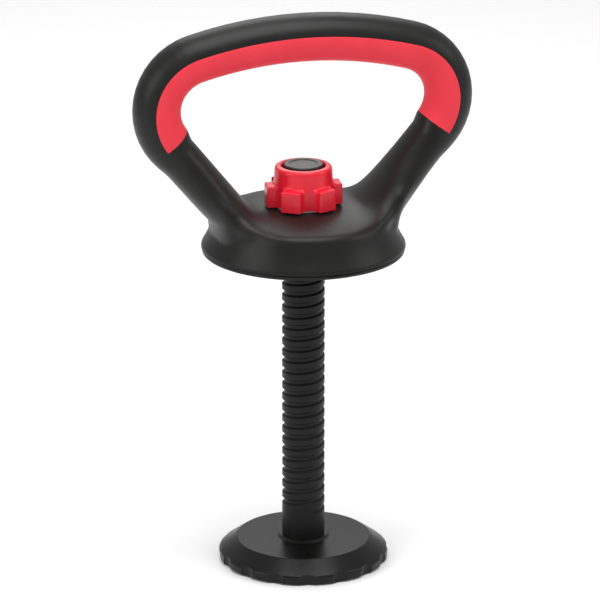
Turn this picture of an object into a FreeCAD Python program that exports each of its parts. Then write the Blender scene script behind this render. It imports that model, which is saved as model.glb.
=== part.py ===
"""Plate-loading kettlebell handle, as a parametric document.

A moulded foot carries an upright post with a coarse right-hand thread.  Standard weight plates drop over
the post.  A handle with a round hub screws down the post and clamps the plates through a floating ring,
and a star knob locks the hub.  The origin is the centre of the surface that the foot stands on, +Z runs up
the post and X runs along the bow of the handle.  All sizes are in millimetres and degrees.
"""
import FreeCAD
import Part
import Sketcher
import math
import os

DRIVING_SIZES = {
    # Foot: a bevelled disc with a fluted rim, and the rubber ring under it
    "foot_radius": 55.8, "foot_height": 13.8, "foot_top_radius": 43.8, "foot_rim_height": 5.4,
    "foot_stand": 1.0, "foot_web": 3.2, "foot_boss_radius": 17.2, "foot_boss_top": 15.2,
    "foot_boss_height": 1.2,
    "foot_round": 2.2, "foot_edge_round": 1.2, "flute_count": 16, "flute_radius": 11.0, "flute_depth": 1.7,
    "foot_pad_outer": 50.0, "foot_pad_inner": 24.0, "foot_pad_sink": 1.2,
    # Post and its thread
    "post_radius": 14.0, "post_bore": 5.4, "post_height": 267.5, "post_bevel": 0.5,
    "spigot_radius": 12.0, "spigot_depth": 3.6,
    "thread_start": 35.2, "thread_turned": -75.0, "thread_pitch": 7.6, "thread_depth": 1.4,
    "groove_mouth": 4.0, "groove_floor": 1.8, "thread_gap": 0.3,
    "top_socket_radius": 10.4, "top_socket_depth": 19.0,
    # Tie bolt, washers and nut inside the post
    "bolt_radius": 5.0, "bolt_flats": 16.0, "bolt_head_height": 6.4, "bolt_past_nut": 2.0,
    "nut_height": 8.4, "washer_radius": 10.0, "washer_thickness": 2.0, "head_recess_radius": 10.6,
    # Cap on the end of the post
    "cap_radius": 12.6, "cap_height": 3.8, "cap_plug_radius": 10.0, "cap_plug_length": 4.5,
    "cap_dish_radius": 9.4, "cap_dish_depth": 0.5, "cap_round": 0.8,
    # Clamp ring that floats under the hub, with its rubber pad
    "clamp_space": 198.0, "clamp_radius": 65.8, "clamp_plate": 2.8, "clamp_bore": 25.0, "clamp_round": 1.0,
    "collar_inner": 43.0, "collar_outer": 46.0, "lip_outer": 48.4, "lip_height": 2.4,
    "clamp_pad_outer": 60.0, "clamp_pad_inner": 38.0, "clamp_pad_sink": 1.4, "clamp_pad_proud": 0.5,
    # Hub of the handle, heights measured from its underside
    "hub_radius": 66.5, "hub_edge_height": 3.6, "waist_radius": 61.2, "waist_height": 11.2,
    "ridge_radius": 55.0, "ridge_height": 20.4, "ridge_round": 4.0,
    "seat_radius": 22.5, "seat_height": 27.3, "slope_radius": 39.5, "slope_height": 25.4,
    "post_hole": 15.0, "cavity_radius": 50.0, "cavity_height": 14.7, "fit_gap": 0.3,
    "retainer_radius": 57.4, "retainer_thickness": 2.7,
    "glide_inner": 58.6, "glide_outer": 62.4, "glide_thickness": 1.2, "glide_proud": 0.15,
    # Threaded bush in the hub
    "bush_radius": 24.0, "bush_length": 24.0, "flange_radius": 40.0, "flange_thickness": 4.6,
    "bush_roof": 3.4, "rib_end_land": 1.2,
    # Screws of the bush and of the retainer
    "screw_count": 4, "screw_radius": 2.0, "screw_length": 10.5, "screw_head_height": 2.2,
    "screw_head_radius": 3.6, "bush_screw_circle": 33.0, "retainer_screw_circle": 53.4,
    # Bow and horns of the handle
    "bow_height": 355.3, "bow_reach": 96.6, "crown_radius": 264.0, "corner_radius": 35.0,
    "horn_lean": 39.4, "bow_half_height": 15.5, "bow_half_depth": 17.0,
    "horn_length": 84.0, "root_half_height": 11.0, "root_half_depth": 47.0,
    # Soft grip set into the inner side of the bow
    "seam_offset": 4.0, "grip_wall": 4.0, "grip_end_angle": 36.0,
    # Star knob and the washer under it
    "knob_washer_radius": 18.4, "knob_washer_thickness": 1.2, "seat_gap": 0.1,
    "knob_height": 25.6, "knob_barrel_radius": 19.3, "knob_top_radius": 18.8, "knob_lobe_reach": 24.8,
    "knob_lobe_height": 13.4, "knob_lobes": 6, "lobe_half_width": 7.2, "knob_turned": -4.0,
    "knob_round": 2.0, "lobe_round": 1.6, "knob_mouth_depth": 8.0,
}

doc = FreeCAD.newDocument("kettlebell")
sheet = doc.addObject("Spreadsheet::Sheet", "dims")
for row, (alias, value) in enumerate(DRIVING_SIZES.items(), start=1):
    sheet.set("A%d" % row, alias)
    sheet.set("B%d" % row, str(value))
    sheet.setAlias("B%d" % row, alias)
doc.recompute()


def size(alias):
    """Value of one driving size."""
    return float(sheet.get(alias))


UP = FreeCAD.Vector(0, 0, 1)
BACK = FreeCAD.Vector(0, 1, 0)
ORIGIN = FreeCAD.Vector(0, 0, 0)
FULL_TURN = 360.0
SAME_SPOT = 0.001


class Level:
    """Heights above the ground that several pieces share, worked out from the driving sizes."""

    foot = size("foot_stand")
    foot_top = foot + size("foot_height")
    post_shoulder = foot_top + size("foot_boss_height")
    post_end = post_shoulder - size("spigot_depth")
    web_bottom = post_end - size("foot_web")
    post_top = size("post_height")
    socket_floor = post_top - size("top_socket_depth")
    clamp = foot_top + size("clamp_space")
    clamp_top = clamp + size("clamp_plate")
    hub = clamp_top + size("fit_gap")
    retainer = hub + size("fit_gap")
    retainer_top = retainer + size("retainer_thickness")
    cavity_roof = hub + size("cavity_height")
    knob_seat = hub + size("seat_height")
    bush_top = knob_seat - size("bush_roof")
    bush = bush_top - size("bush_length")
    flange = cavity_roof - size("flange_thickness")
    knob_washer = knob_seat + size("seat_gap")
    knob = knob_washer + size("knob_washer_thickness") + size("seat_gap")


def place(part, height, angle=0.0):
    """Stand a piece at a height on the post's axis, turned about it."""
    part.Placement = FreeCAD.Placement(FreeCAD.Vector(0, 0, height), FreeCAD.Rotation(UP, angle))
    return part


# ---------------------------------------------------------------------------------------------------
# Part Design helpers
# ---------------------------------------------------------------------------------------------------
def new_body(label):
    """Empty body whose label names its file."""
    body = doc.addObject("PartDesign::Body", label)
    body.Label = label
    return body


def new_sketch(body, name, role):
    """Sketch on one of the body's own origin planes."""
    plane = next(item for item in body.Origin.OriginFeatures if item.Role == role)
    sketch = body.newObject("Sketcher::SketchObject", name)
    sketch.AttachmentSupport = (plane, [""])
    sketch.MapMode = "FlatFace"
    return sketch


def bind_point(sketch, line, end, across, up):
    """Tie one end of a line to its distances from the sketch's origin, as formulas of the sheet."""
    for kind, formula in (("DistanceX", across), ("DistanceY", up)):
        index = sketch.addConstraint(Sketcher.Constraint(kind, -1, 1, line, end, 1.0 + line))
        name = "%s_%d_%d" % (kind.lower(), line, end)
        sketch.renameConstraint(index, name)
        sketch.setExpression("Constraints.%s" % name, formula)


def draw_outline(sketch, corners):
    """Closed outline through corners, each given as (across, up) formulas of the sheet."""
    count = len(corners)
    first = sketch.GeometryCount
    start = [FreeCAD.Vector(math.cos(2 * math.pi * i / count), math.sin(2 * math.pi * i / count), 0)
             for i in range(count)]
    for i in range(count):
        sketch.addGeometry(Part.LineSegment(start[i], start[(i + 1) % count]), False)
    for i in range(count):
        sketch.addConstraint(Sketcher.Constraint("Coincident", first + i, 2, first + (i + 1) % count, 1))
    for i, (across, up) in enumerate(corners):
        bind_point(sketch, first + i, 1, across, up)


def turned_body(label, corners):
    """Body turned about Z from an outline of (radius, height) formulas."""
    body = new_body(label)
    sketch = new_sketch(body, label + "_outline", "XZ_Plane")
    draw_outline(sketch, corners)
    turn = body.newObject("PartDesign::Revolution", label + "_turn")
    turn.Profile = sketch
    turn.ReferenceAxis = (sketch, ["V_Axis"])
    turn.Angle = FULL_TURN
    doc.recompute()
    return body


def ring_body(label, inner, outer, thickness):
    """Plain ring with square edges."""
    return turned_body(label, [(inner, "0"), (outer, "0"), (outer, thickness), (inner, thickness)])


def at_spot(curve, spot):
    """Whether a curve is a circle round the Z axis with the given (radius, height)."""
    if not isinstance(curve, Part.Circle):
        return False
    centre = FreeCAD.Vector(0, 0, spot[1])
    return curve.Center.distanceToPoint(centre) < SAME_SPOT and abs(curve.Radius - spot[0]) < SAME_SPOT


def rim_edges(shape, spots):
    """Names of the circular edges at the given (radius, height) spots."""
    return ["Edge%d" % number for number, edge in enumerate(shape.Edges, start=1)
            if any(at_spot(edge.Curve, spot) for spot in spots)]


def round_rims(body, name, spots, radius):
    """Round the circular edges at the given spots by a radius of the sheet."""
    base = body.Tip
    fillet = body.newObject("PartDesign::Fillet", name)
    fillet.Base = (base, rim_edges(base.Shape, spots))
    fillet.setExpression("Radius", radius)
    doc.recompute()


def solid_feature(label, shape):
    """Piece whose shape is made by Part's own functions."""
    feature = doc.addObject("Part::Feature", label)
    feature.Label = label
    feature.Shape = shape
    return feature


def turned_shape(outline):
    """Solid turned about Z from an outline of (radius, height) numbers."""
    points = [FreeCAD.Vector(radius, 0, height) for radius, height in outline]
    face = Part.Face(Part.makePolygon(points + points[:1]))
    return face.revolve(ORIGIN, UP, FULL_TURN)


def around_axis(shape, count, offset=0.0):
    """Copies of a shape, evenly spaced about the post's axis."""
    copies = []
    for i in range(count):
        copy = shape.copy()
        copy.rotate(ORIGIN, UP, offset + i * FULL_TURN / count)
        copies.append(copy)
    return Part.makeCompound(copies)


# ---------------------------------------------------------------------------------------------------
# Thread, shared by the post, the bush and the knob
# ---------------------------------------------------------------------------------------------------
def thread_height(angle):
    """Height of the groove's middle at an angle about Z, in its lowest turn."""
    return size("thread_start") + size("thread_pitch") * (angle - size("thread_turned")) / FULL_TURN


def helical_bar(start_angle, height, inner, outer, inner_width, outer_width):
    """Bar of a four-sided section that follows the thread upwards from an angle."""
    path = Part.Wire(Part.makeHelix(size("thread_pitch"), height, size("post_radius")).Edges)
    points = [FreeCAD.Vector(inner, 0, -inner_width / 2), FreeCAD.Vector(outer, 0, -outer_width / 2),
              FreeCAD.Vector(outer, 0, outer_width / 2), FreeCAD.Vector(inner, 0, inner_width / 2)]
    bar = path.makePipeShell([Part.makePolygon(points + points[:1])], True, True)
    bar.rotate(ORIGIN, UP, start_angle)
    return bar


def threaded_blank(below, above):
    """Rod of the post's radius with its groove, longer than the post by a length below and above it."""
    root = size("post_radius") - size("thread_depth")
    outer = size("post_radius") + size("thread_depth")
    slope = (size("groove_mouth") - size("groove_floor")) / size("thread_depth")
    grooved = Level.post_top + above / 2 - size("thread_start")
    groove = helical_bar(0.0, grooved, root, outer, size("groove_floor"),
                         size("groove_mouth") + slope * size("thread_depth"))
    bottom = Level.post_end - below - size("thread_start")
    blank = Part.makeCylinder(size("post_radius"), grooved + above - bottom, FreeCAD.Vector(0, 0, bottom))
    blank = blank.cut(groove)
    blank.translate(FreeCAD.Vector(0, 0, size("thread_start")))
    blank.rotate(ORIGIN, UP, size("thread_turned"))
    return blank


def rib_bar(bottom, top):
    """The mating rib of a nut between two heights, in step with the groove and clear of it all round."""
    gap = size("thread_gap")
    slope = (size("groove_mouth") - size("groove_floor")) / size("thread_depth")
    tip = size("post_radius") - size("thread_depth") + gap
    root = size("post_radius") + 2 * gap
    tip_width = size("groove_floor") + slope * gap - 2 * gap
    root_width = tip_width + slope * (root - tip)
    land = root_width / 2 + size("rib_end_land")
    turns = math.ceil((bottom + land - thread_height(0)) / size("thread_pitch"))
    start = thread_height(0) + turns * size("thread_pitch")
    bar = helical_bar(0.0, top - land - start, tip, root, tip_width, root_width)
    bar.translate(FreeCAD.Vector(0, 0, start))
    return bar


# ---------------------------------------------------------------------------------------------------
# Foot and post
# ---------------------------------------------------------------------------------------------------
def make_foot():
    """Bevelled disc with a socket for the post, a recess for the bolt's head and a fluted rim."""
    web_top = "dims.foot_height + dims.foot_boss_height - dims.spigot_depth"
    web_bottom = web_top + " - dims.foot_web"
    boss_top = "dims.foot_height + dims.foot_boss_height"
    socket = "dims.spigot_radius + dims.fit_gap"
    foot = turned_body("foot", [
        ("dims.post_bore", web_bottom), ("dims.head_recess_radius", web_bottom),
        ("dims.head_recess_radius", "0"), ("dims.foot_pad_inner", "0"),
        ("dims.foot_pad_inner", "dims.foot_pad_sink"), ("dims.foot_pad_outer", "dims.foot_pad_sink"),
        ("dims.foot_pad_outer", "0"), ("dims.foot_radius", "0"),
        ("dims.foot_radius", "dims.foot_rim_height"), ("dims.foot_top_radius", "dims.foot_height"),
        ("dims.foot_boss_radius", "dims.foot_height"),
        ("dims.foot_boss_top", boss_top), (socket, boss_top), (socket, web_top),
        ("dims.post_bore", web_top)])
    round_rims(foot, "foot_shoulder", [(size("foot_radius"), size("foot_rim_height"))], "dims.foot_round")
    round_rims(foot, "foot_crest", [(size("foot_top_radius"), size("foot_height"))], "dims.foot_round")
    round_rims(foot, "foot_edge", [(size("foot_radius"), 0.0)], "dims.foot_edge_round")
    cut_flutes(foot)
    return place(foot, Level.foot)


def cut_flutes(foot):
    """Shallow upright flutes all round the rim, the first half a step from the X axis."""
    before = foot.Shape.Volume
    sketch = new_sketch(foot, "flute_outline", "XY_Plane")
    reach = size("foot_radius") + size("flute_radius") - size("flute_depth")
    sketch.addGeometry(Part.Circle(FreeCAD.Vector(reach, reach, 0), UP, size("flute_radius")), False)
    radius = sketch.addConstraint(Sketcher.Constraint("Radius", 0, size("flute_radius")))
    sketch.setExpression("Constraints[%d]" % radius, "dims.flute_radius")
    away = "(dims.foot_radius + dims.flute_radius - dims.flute_depth) * "
    half_step = "(180deg / dims.flute_count)"
    for kind, wave in (("DistanceX", "cos"), ("DistanceY", "sin")):
        index = sketch.addConstraint(Sketcher.Constraint(kind, -1, 1, 0, 3, reach))
        sketch.setExpression("Constraints[%d]" % index, away + wave + half_step)
    flute = foot.newObject("PartDesign::Pocket", "flute")
    flute.Profile = sketch
    flute.Reversed = True
    flute.setExpression("Length", "dims.foot_height")
    doc.recompute()
    pattern = foot.newObject("PartDesign::PolarPattern", "flutes")
    pattern.Originals = [flute]
    pattern.Axis = (sketch, ["N_Axis"])
    pattern.Angle = FULL_TURN
    pattern.setExpression("Occurrences", "dims.flute_count")
    foot.Tip = pattern
    doc.recompute()
    if foot.Shape.Volume >= before:
        raise RuntimeError("the flutes cut nothing")


def make_foot_pad():
    """Rubber ring that the foot stands on."""
    return ring_body("foot_pad", "dims.foot_pad_inner + dims.fit_gap",
                     "dims.foot_pad_outer - dims.fit_gap", "dims.foot_stand + dims.foot_pad_sink")


def make_post():
    """Hollow threaded post, with a spigot in the foot and a socket for the nut in its top."""
    bore, outer, socket = size("post_bore"), size("post_radius"), size("top_socket_radius")
    shoulder, top = Level.post_shoulder, Level.post_top
    spare, bevel = 2 * size("thread_pitch"), size("post_bevel")
    above = turned_shape([(0, top), (outer - bevel, top), (outer + bevel, top - 2 * bevel),
                          (outer + spare, top - 2 * bevel), (outer + spare, top + 2 * spare),
                          (0, top + 2 * spare)])
    below = turned_shape([(0, Level.post_end), (size("spigot_radius"), Level.post_end),
                          (size("spigot_radius"), shoulder), (outer + spare, shoulder),
                          (outer + spare, shoulder - 2 * spare), (0, shoulder - 2 * spare)])
    hollow = turned_shape([(0, Level.post_end - spare), (bore, Level.post_end - spare),
                           (bore, Level.socket_floor), (socket, Level.socket_floor),
                           (socket, top + spare), (0, top + spare)])
    post = threaded_blank(spare / 2, spare).cut(above).cut(below).cut(hollow)
    return solid_feature("threaded_post", post)


def make_hexagon(label, height, bored):
    """Hexagon prism over the bolt's size across flats, with the bolt's hole if it is a nut."""
    body = new_body(label)
    sketch = new_sketch(body, label + "_outline", "XY_Plane")
    corner = "dims.bolt_flats / 2 / cos(30) "
    draw_outline(sketch, [("%s * cos(%d)" % (corner, a), "%s * sin(%d)" % (corner, a))
                          for a in range(0, 360, 60)])
    if bored:
        ring = sketch.GeometryCount
        sketch.addGeometry(Part.Circle(ORIGIN, UP, size("bolt_radius")), False)
        sketch.addConstraint(Sketcher.Constraint("Coincident", ring, 3, -1, 1))
        radius = sketch.addConstraint(Sketcher.Constraint("Radius", ring, size("bolt_radius")))
        sketch.setExpression("Constraints[%d]" % radius, "dims.bolt_radius")
    pad = body.newObject("PartDesign::Pad", label + "_block")
    pad.Profile = sketch
    pad.setExpression("Length", height)
    doc.recompute()
    return body


def make_tie_bolt():
    """Steel bolt up the middle of the post, which holds foot, post and nut together."""
    bolt = make_hexagon("tie_bolt", "dims.bolt_head_height", False)
    sketch = new_sketch(bolt, "shank_outline", "XY_Plane")
    sketch.addGeometry(Part.Circle(ORIGIN, UP, size("bolt_radius")), False)
    sketch.addConstraint(Sketcher.Constraint("Coincident", 0, 3, -1, 1))
    radius = sketch.addConstraint(Sketcher.Constraint("Radius", 0, size("bolt_radius")))
    sketch.setExpression("Constraints[%d]" % radius, "dims.bolt_radius")
    shank = bolt.newObject("PartDesign::Pad", "shank")
    shank.Profile = sketch
    shank.setExpression("Length", "dims.bolt_head_height + dims.washer_thickness + dims.foot_web"
                        " + dims.post_height - dims.top_socket_depth - dims.foot_stand - dims.foot_height"
                        " - dims.foot_boss_height + dims.spigot_depth + dims.washer_thickness"
                        " + dims.nut_height + dims.bolt_past_nut")
    doc.recompute()
    return place(bolt, Level.web_bottom - size("washer_thickness") - size("bolt_head_height"))


def make_tie_stack():
    """Washers at both ends of the tie bolt, and its nut in the post's top."""
    for label, height in (("foot_washer", Level.web_bottom - size("washer_thickness")),
                          ("post_washer", Level.socket_floor)):
        place(ring_body(label, "dims.bolt_radius", "dims.washer_radius", "dims.washer_thickness"), height)
    place(make_hexagon("tie_nut", "dims.nut_height", True), Level.socket_floor + size("washer_thickness"))


def make_post_cap():
    """Round cap plugged into the post's top, with a shallow dish in its face."""
    plug = "-dims.cap_plug_length"
    dish = "dims.cap_height - dims.cap_dish_depth"
    cap = turned_body("post_cap", [
        ("0", plug), ("dims.cap_plug_radius", plug), ("dims.cap_plug_radius", "0"), ("dims.cap_radius", "0"),
        ("dims.cap_radius", "dims.cap_height"), ("dims.cap_dish_radius", "dims.cap_height"),
        ("dims.cap_dish_radius - dims.cap_dish_depth", dish), ("0", dish)])
    round_rims(cap, "cap_rounds", [(size("cap_radius"), size("cap_height"))], "dims.cap_round")
    return place(cap, Level.post_top)


# ---------------------------------------------------------------------------------------------------
# Clamp ring
# ---------------------------------------------------------------------------------------------------
def make_clamp_ring():
    """Pressure plate that floats under the hub; the lip of its collar hooks over the retainer."""
    lip_bottom = "dims.clamp_plate + 3 * dims.fit_gap + dims.retainer_thickness"
    lip_top = lip_bottom + " + dims.lip_height"
    ring = turned_body("clamp_ring", [
        ("dims.clamp_bore", "0"), ("dims.clamp_pad_inner", "0"),
        ("dims.clamp_pad_inner", "dims.clamp_pad_sink"), ("dims.clamp_pad_outer", "dims.clamp_pad_sink"),
        ("dims.clamp_pad_outer", "0"),
        ("dims.clamp_radius", "0"), ("dims.clamp_radius", "dims.clamp_plate"),
        ("dims.collar_outer", "dims.clamp_plate"), ("dims.collar_outer", lip_bottom),
        ("dims.lip_outer", lip_bottom), ("dims.lip_outer", lip_top), ("dims.collar_inner", lip_top),
        ("dims.collar_inner", "dims.clamp_plate"), ("dims.clamp_bore", "dims.clamp_plate")])
    edge = [(size("clamp_radius"), 0.0), (size("clamp_radius"), size("clamp_plate"))]
    round_rims(ring, "clamp_rounds", edge, "dims.clamp_round")
    return place(ring, Level.clamp)


def make_clamp_pad():
    """Rubber ring in the clamp ring's underside, which grips the top plate."""
    pad = ring_body("clamp_pad", "dims.clamp_pad_inner + dims.fit_gap",
                    "dims.clamp_pad_outer - dims.fit_gap", "dims.clamp_pad_sink + dims.clamp_pad_proud")
    return place(pad, Level.clamp - size("clamp_pad_proud"))


def screw_shape(height, angle, circle, sunk):
    """One screw pointing up from a height; a sunk head lies above that height, a pan head below it."""
    radius, head = size("screw_radius"), size("screw_head_radius")
    thick, length = size("screw_head_height"), size("screw_length")
    if sunk:
        outline = [(0, 0), (head, 0), (radius, thick), (radius, length), (0, length)]
    else:
        outline = [(0, -thick), (head, -thick), (head, 0), (radius, 0), (radius, length), (0, length)]
    screw = turned_shape(outline)
    screw.translate(FreeCAD.Vector(circle, 0, height))
    screw.rotate(ORIGIN, UP, angle)
    return screw


def bush_screw_shapes():
    """The screws that hold the bush's flange up under the hub."""
    one = screw_shape(Level.flange, 0.0, size("bush_screw_circle"), False)
    return around_axis(one, int(size("screw_count")))


def retainer_screw_shapes():
    """The screws that hold the two retainer halves, a pair through each half."""
    count = int(size("screw_count"))
    one = screw_shape(Level.retainer, 0.0, size("retainer_screw_circle"), True)
    return around_axis(one, count, FULL_TURN / count / 2)


def make_retainer():
    """Split ring screwed up into the hub, under the lip of the clamp ring's collar."""
    inner = size("collar_outer") + size("fit_gap")
    outer = size("retainer_radius") - size("fit_gap")
    ring = turned_shape([(inner, Level.retainer), (outer, Level.retainer), (outer, Level.retainer_top),
                         (inner, Level.retainer_top)])
    reach, slit = 2 * outer, size("fit_gap")
    saw = Part.makeBox(reach, slit, reach, FreeCAD.Vector(-reach / 2, -slit / 2, Level.retainer - reach / 2))
    return solid_feature("clamp_retainer", ring.cut(saw).cut(retainer_screw_shapes()))


# ---------------------------------------------------------------------------------------------------
# Handle
# ---------------------------------------------------------------------------------------------------
class Bow:
    """Centreline of the bow in the XZ plane: a crown arc, two corner arcs and two straight horns."""

    crown = size("crown_radius")
    corner = size("corner_radius")
    middle_x = size("bow_reach") - corner
    crown_z = size("bow_height") - crown
    middle_z = crown_z + math.sqrt((crown - corner) ** 2 - middle_x ** 2)
    join = math.degrees(math.asin(middle_x / (crown - corner)))
    corner_end = 90.0 + size("horn_lean")


HORN_STEPS = 4
DEPTH_GROWTH = 1.6
MIRROR = FreeCAD.Vector(1, 0, 0)


def section(middle, out, height, depth):
    """Elliptical wire of the bow, with its normal and its half sizes along the normal and along Y."""
    return Part.Wire(Part.Ellipse(middle + BACK * depth, middle + out * height, middle).toShape())


def arc_section(turn, shrink):
    """Section of the bow where its normal has turned by an angle from the top of the crown."""
    bearing = math.radians(turn)
    out = FreeCAD.Vector(math.sin(bearing), 0, math.cos(bearing))
    if turn <= Bow.join:
        middle = FreeCAD.Vector(0, 0, Bow.crown_z) + out * Bow.crown
    else:
        middle = FreeCAD.Vector(Bow.middle_x, 0, Bow.middle_z) + out * Bow.corner
    return section(middle, out, size("bow_half_height") - shrink, size("bow_half_depth") - shrink)


def horn_section(share):
    """Section of the right horn at a share of its length; it deepens towards the hub."""
    bearing, lean = math.radians(Bow.corner_end), math.radians(size("horn_lean"))
    out = FreeCAD.Vector(math.sin(bearing), 0, math.cos(bearing))
    down = FreeCAD.Vector(-math.sin(lean), 0, -math.cos(lean))
    middle = FreeCAD.Vector(Bow.middle_x, 0, Bow.middle_z) + out * Bow.corner
    height, depth = size("bow_half_height"), size("bow_half_depth")
    height += (size("root_half_height") - height) * share
    depth += (size("root_half_depth") - depth) * share ** DEPTH_GROWTH
    return section(middle + down * size("horn_length") * share, out, height, depth)


def both_sides(shape):
    """A shape of the right half with its mirror image."""
    return shape.fuse(shape.mirror(ORIGIN, MIRROR))


def bow_shape(shrink=0.0):
    """Crown and corners of the bow, or their core when shrunk."""
    crown = Part.Face(arc_section(0.0, shrink))
    crown = crown.revolve(FreeCAD.Vector(0, 0, Bow.crown_z), BACK, Bow.join)
    corner = Part.Face(arc_section(Bow.corner_end, shrink))
    corner = corner.revolve(FreeCAD.Vector(Bow.middle_x, 0, Bow.middle_z), BACK, Bow.join - Bow.corner_end)
    return both_sides(crown.fuse(corner))


def horn_shape():
    """Right horn, from the end of the bow's corner to its root in the hub."""
    sections = [horn_section(i / HORN_STEPS) for i in range(HORN_STEPS + 1)]
    return Part.makeLoft(sections, True, False)


def arc_edge(middle, radius, first, last):
    """Arc about a point of the XZ plane between two turns from the vertical."""
    spots = []
    for turn in (first, (first + last) / 2, last):
        bearing = math.radians(turn)
        spots.append(middle + FreeCAD.Vector(radius * math.sin(bearing), 0, radius * math.cos(bearing)))
    return Part.Arc(*spots).toShape()


def grip_region():
    """Slab over the inner side of the bow, between the grip's two end cuts."""
    offset, end = size("seam_offset"), 90.0 + size("grip_end_angle")
    right = FreeCAD.Vector(Bow.middle_x, 0, Bow.middle_z)
    left = FreeCAD.Vector(-Bow.middle_x, 0, Bow.middle_z)
    crown = FreeCAD.Vector(0, 0, Bow.crown_z)
    arcs = [arc_edge(left, Bow.corner + offset, -end, -Bow.join),
            arc_edge(crown, Bow.crown + offset, -Bow.join, Bow.join),
            arc_edge(right, Bow.corner + offset, Bow.join, end)]
    first, last = arcs[0].valueAt(arcs[0].FirstParameter), arcs[-1].valueAt(arcs[-1].LastParameter)
    closing = [Part.makeLine(last, right), Part.makeLine(right, left), Part.makeLine(left, first)]
    face = Part.Face(Part.Wire(arcs + closing))
    reach = 2 * size("bow_half_depth")
    face.translate(BACK * -reach)
    return face.extrude(BACK * 2 * reach)


def hub_shape():
    """Hub with a flared skirt, a rounded ridge and a crowned floor round the knob's flat seat."""
    level = Level.hub
    seat = FreeCAD.Vector(size("seat_radius"), 0, level + size("seat_height"))
    ridge = FreeCAD.Vector(size("ridge_radius"), 0, level + size("ridge_height"))
    slope = FreeCAD.Vector(size("slope_radius"), 0, level + size("slope_height"))
    waist = FreeCAD.Vector(size("waist_radius"), 0, level + size("waist_height"))
    edge = FreeCAD.Vector(size("hub_radius"), 0, level + size("hub_edge_height"))
    base = FreeCAD.Vector(size("hub_radius"), 0, level)
    centre, top = FreeCAD.Vector(0, 0, level), FreeCAD.Vector(0, 0, seat.z)
    outline = [Part.makeLine(centre, base), Part.makeLine(base, edge),
               Part.Arc(edge, waist, ridge).toShape(), Part.Arc(ridge, slope, seat).toShape(),
               Part.makeLine(seat, top), Part.makeLine(top, centre)]
    hub = Part.Face(Part.Wire(outline)).revolve(ORIGIN, UP, FULL_TURN)
    crest = [rim for rim in hub.Edges if isinstance(rim.Curve, Part.Circle)
             and abs(rim.Curve.Radius - ridge.x) < SAME_SPOT]
    return hub.makeFillet(size("ridge_round"), crest).Solids[0]


def hub_hollow():
    """Space inside the hub for the post, the bush, the clamp ring's collar, the retainer and the glide."""
    level, past = Level.hub, size("seat_height")
    recess = Level.retainer_top
    hollow = turned_shape([
        (0, level - past), (size("retainer_radius"), level - past), (size("retainer_radius"), recess),
        (size("cavity_radius"), recess), (size("cavity_radius"), Level.cavity_roof),
        (size("bush_radius"), Level.cavity_roof), (size("bush_radius"), Level.bush_top),
        (size("post_hole"), Level.bush_top), (size("post_hole"), level + 2 * past), (0, level + 2 * past)])
    return hollow.fuse([glide_shape(), bush_screw_shapes(), retainer_screw_shapes()])


def glide_shape():
    """Slippery ring let into the hub's underside, a little proud of it."""
    bottom = Level.hub - size("glide_proud")
    top = bottom + size("glide_thickness")
    return turned_shape([(size("glide_inner"), bottom), (size("glide_outer"), bottom),
                         (size("glide_outer"), top), (size("glide_inner"), top)])


def make_handle():
    """Hub, horns and bow in one moulding, with the bow's inner side left open for the grip."""
    bow, region, horn = bow_shape(), grip_region(), horn_shape()
    moulding = hub_shape().fuse(horn).fuse(horn.mirror(ORIGIN, MIRROR)).fuse(bow)
    moulding = moulding.cut(hub_hollow()).cut(region)
    solid_feature("handle_body", moulding)
    core = bow_shape(size("grip_wall")).common(region)
    solid_feature("grip_carrier", core)
    solid_feature("soft_grip", bow.common(region).cut(core))
    solid_feature("glide_ring", glide_shape())


def nut_bore(bottom, top):
    """What a nut on the post's thread leaves out of its bore: the bore less the rib."""
    bore = Part.makeCylinder(size("post_radius") + size("thread_gap"), top - bottom,
                             FreeCAD.Vector(0, 0, bottom))
    return bore.cut(rib_bar(bottom, top))


def make_bush():
    """Threaded bush, screwed up under the hub by its flange."""
    bush = turned_shape([
        (0, Level.bush), (size("bush_radius"), Level.bush), (size("bush_radius"), Level.flange),
        (size("flange_radius"), Level.flange), (size("flange_radius"), Level.cavity_roof),
        (size("bush_radius"), Level.cavity_roof), (size("bush_radius"), Level.bush_top),
        (0, Level.bush_top)])
    bush = bush.cut(nut_bore(Level.bush, Level.bush_top)).cut(bush_screw_shapes())
    return solid_feature("thread_bush", bush)


# ---------------------------------------------------------------------------------------------------
# Star knob
# ---------------------------------------------------------------------------------------------------
def rounded_disc(bottom_radius, top_radius, height, radius):
    """Upright disc or cone with a rounded top rim."""
    if bottom_radius == top_radius:
        disc = Part.makeCylinder(bottom_radius, height)
    else:
        disc = Part.makeCone(bottom_radius, top_radius, height)
    rims = [rim for rim in disc.Edges if isinstance(rim.Curve, Part.Circle)
            and abs(rim.Curve.Center.z - height) < SAME_SPOT]
    return disc.makeFillet(radius, rims)


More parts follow.
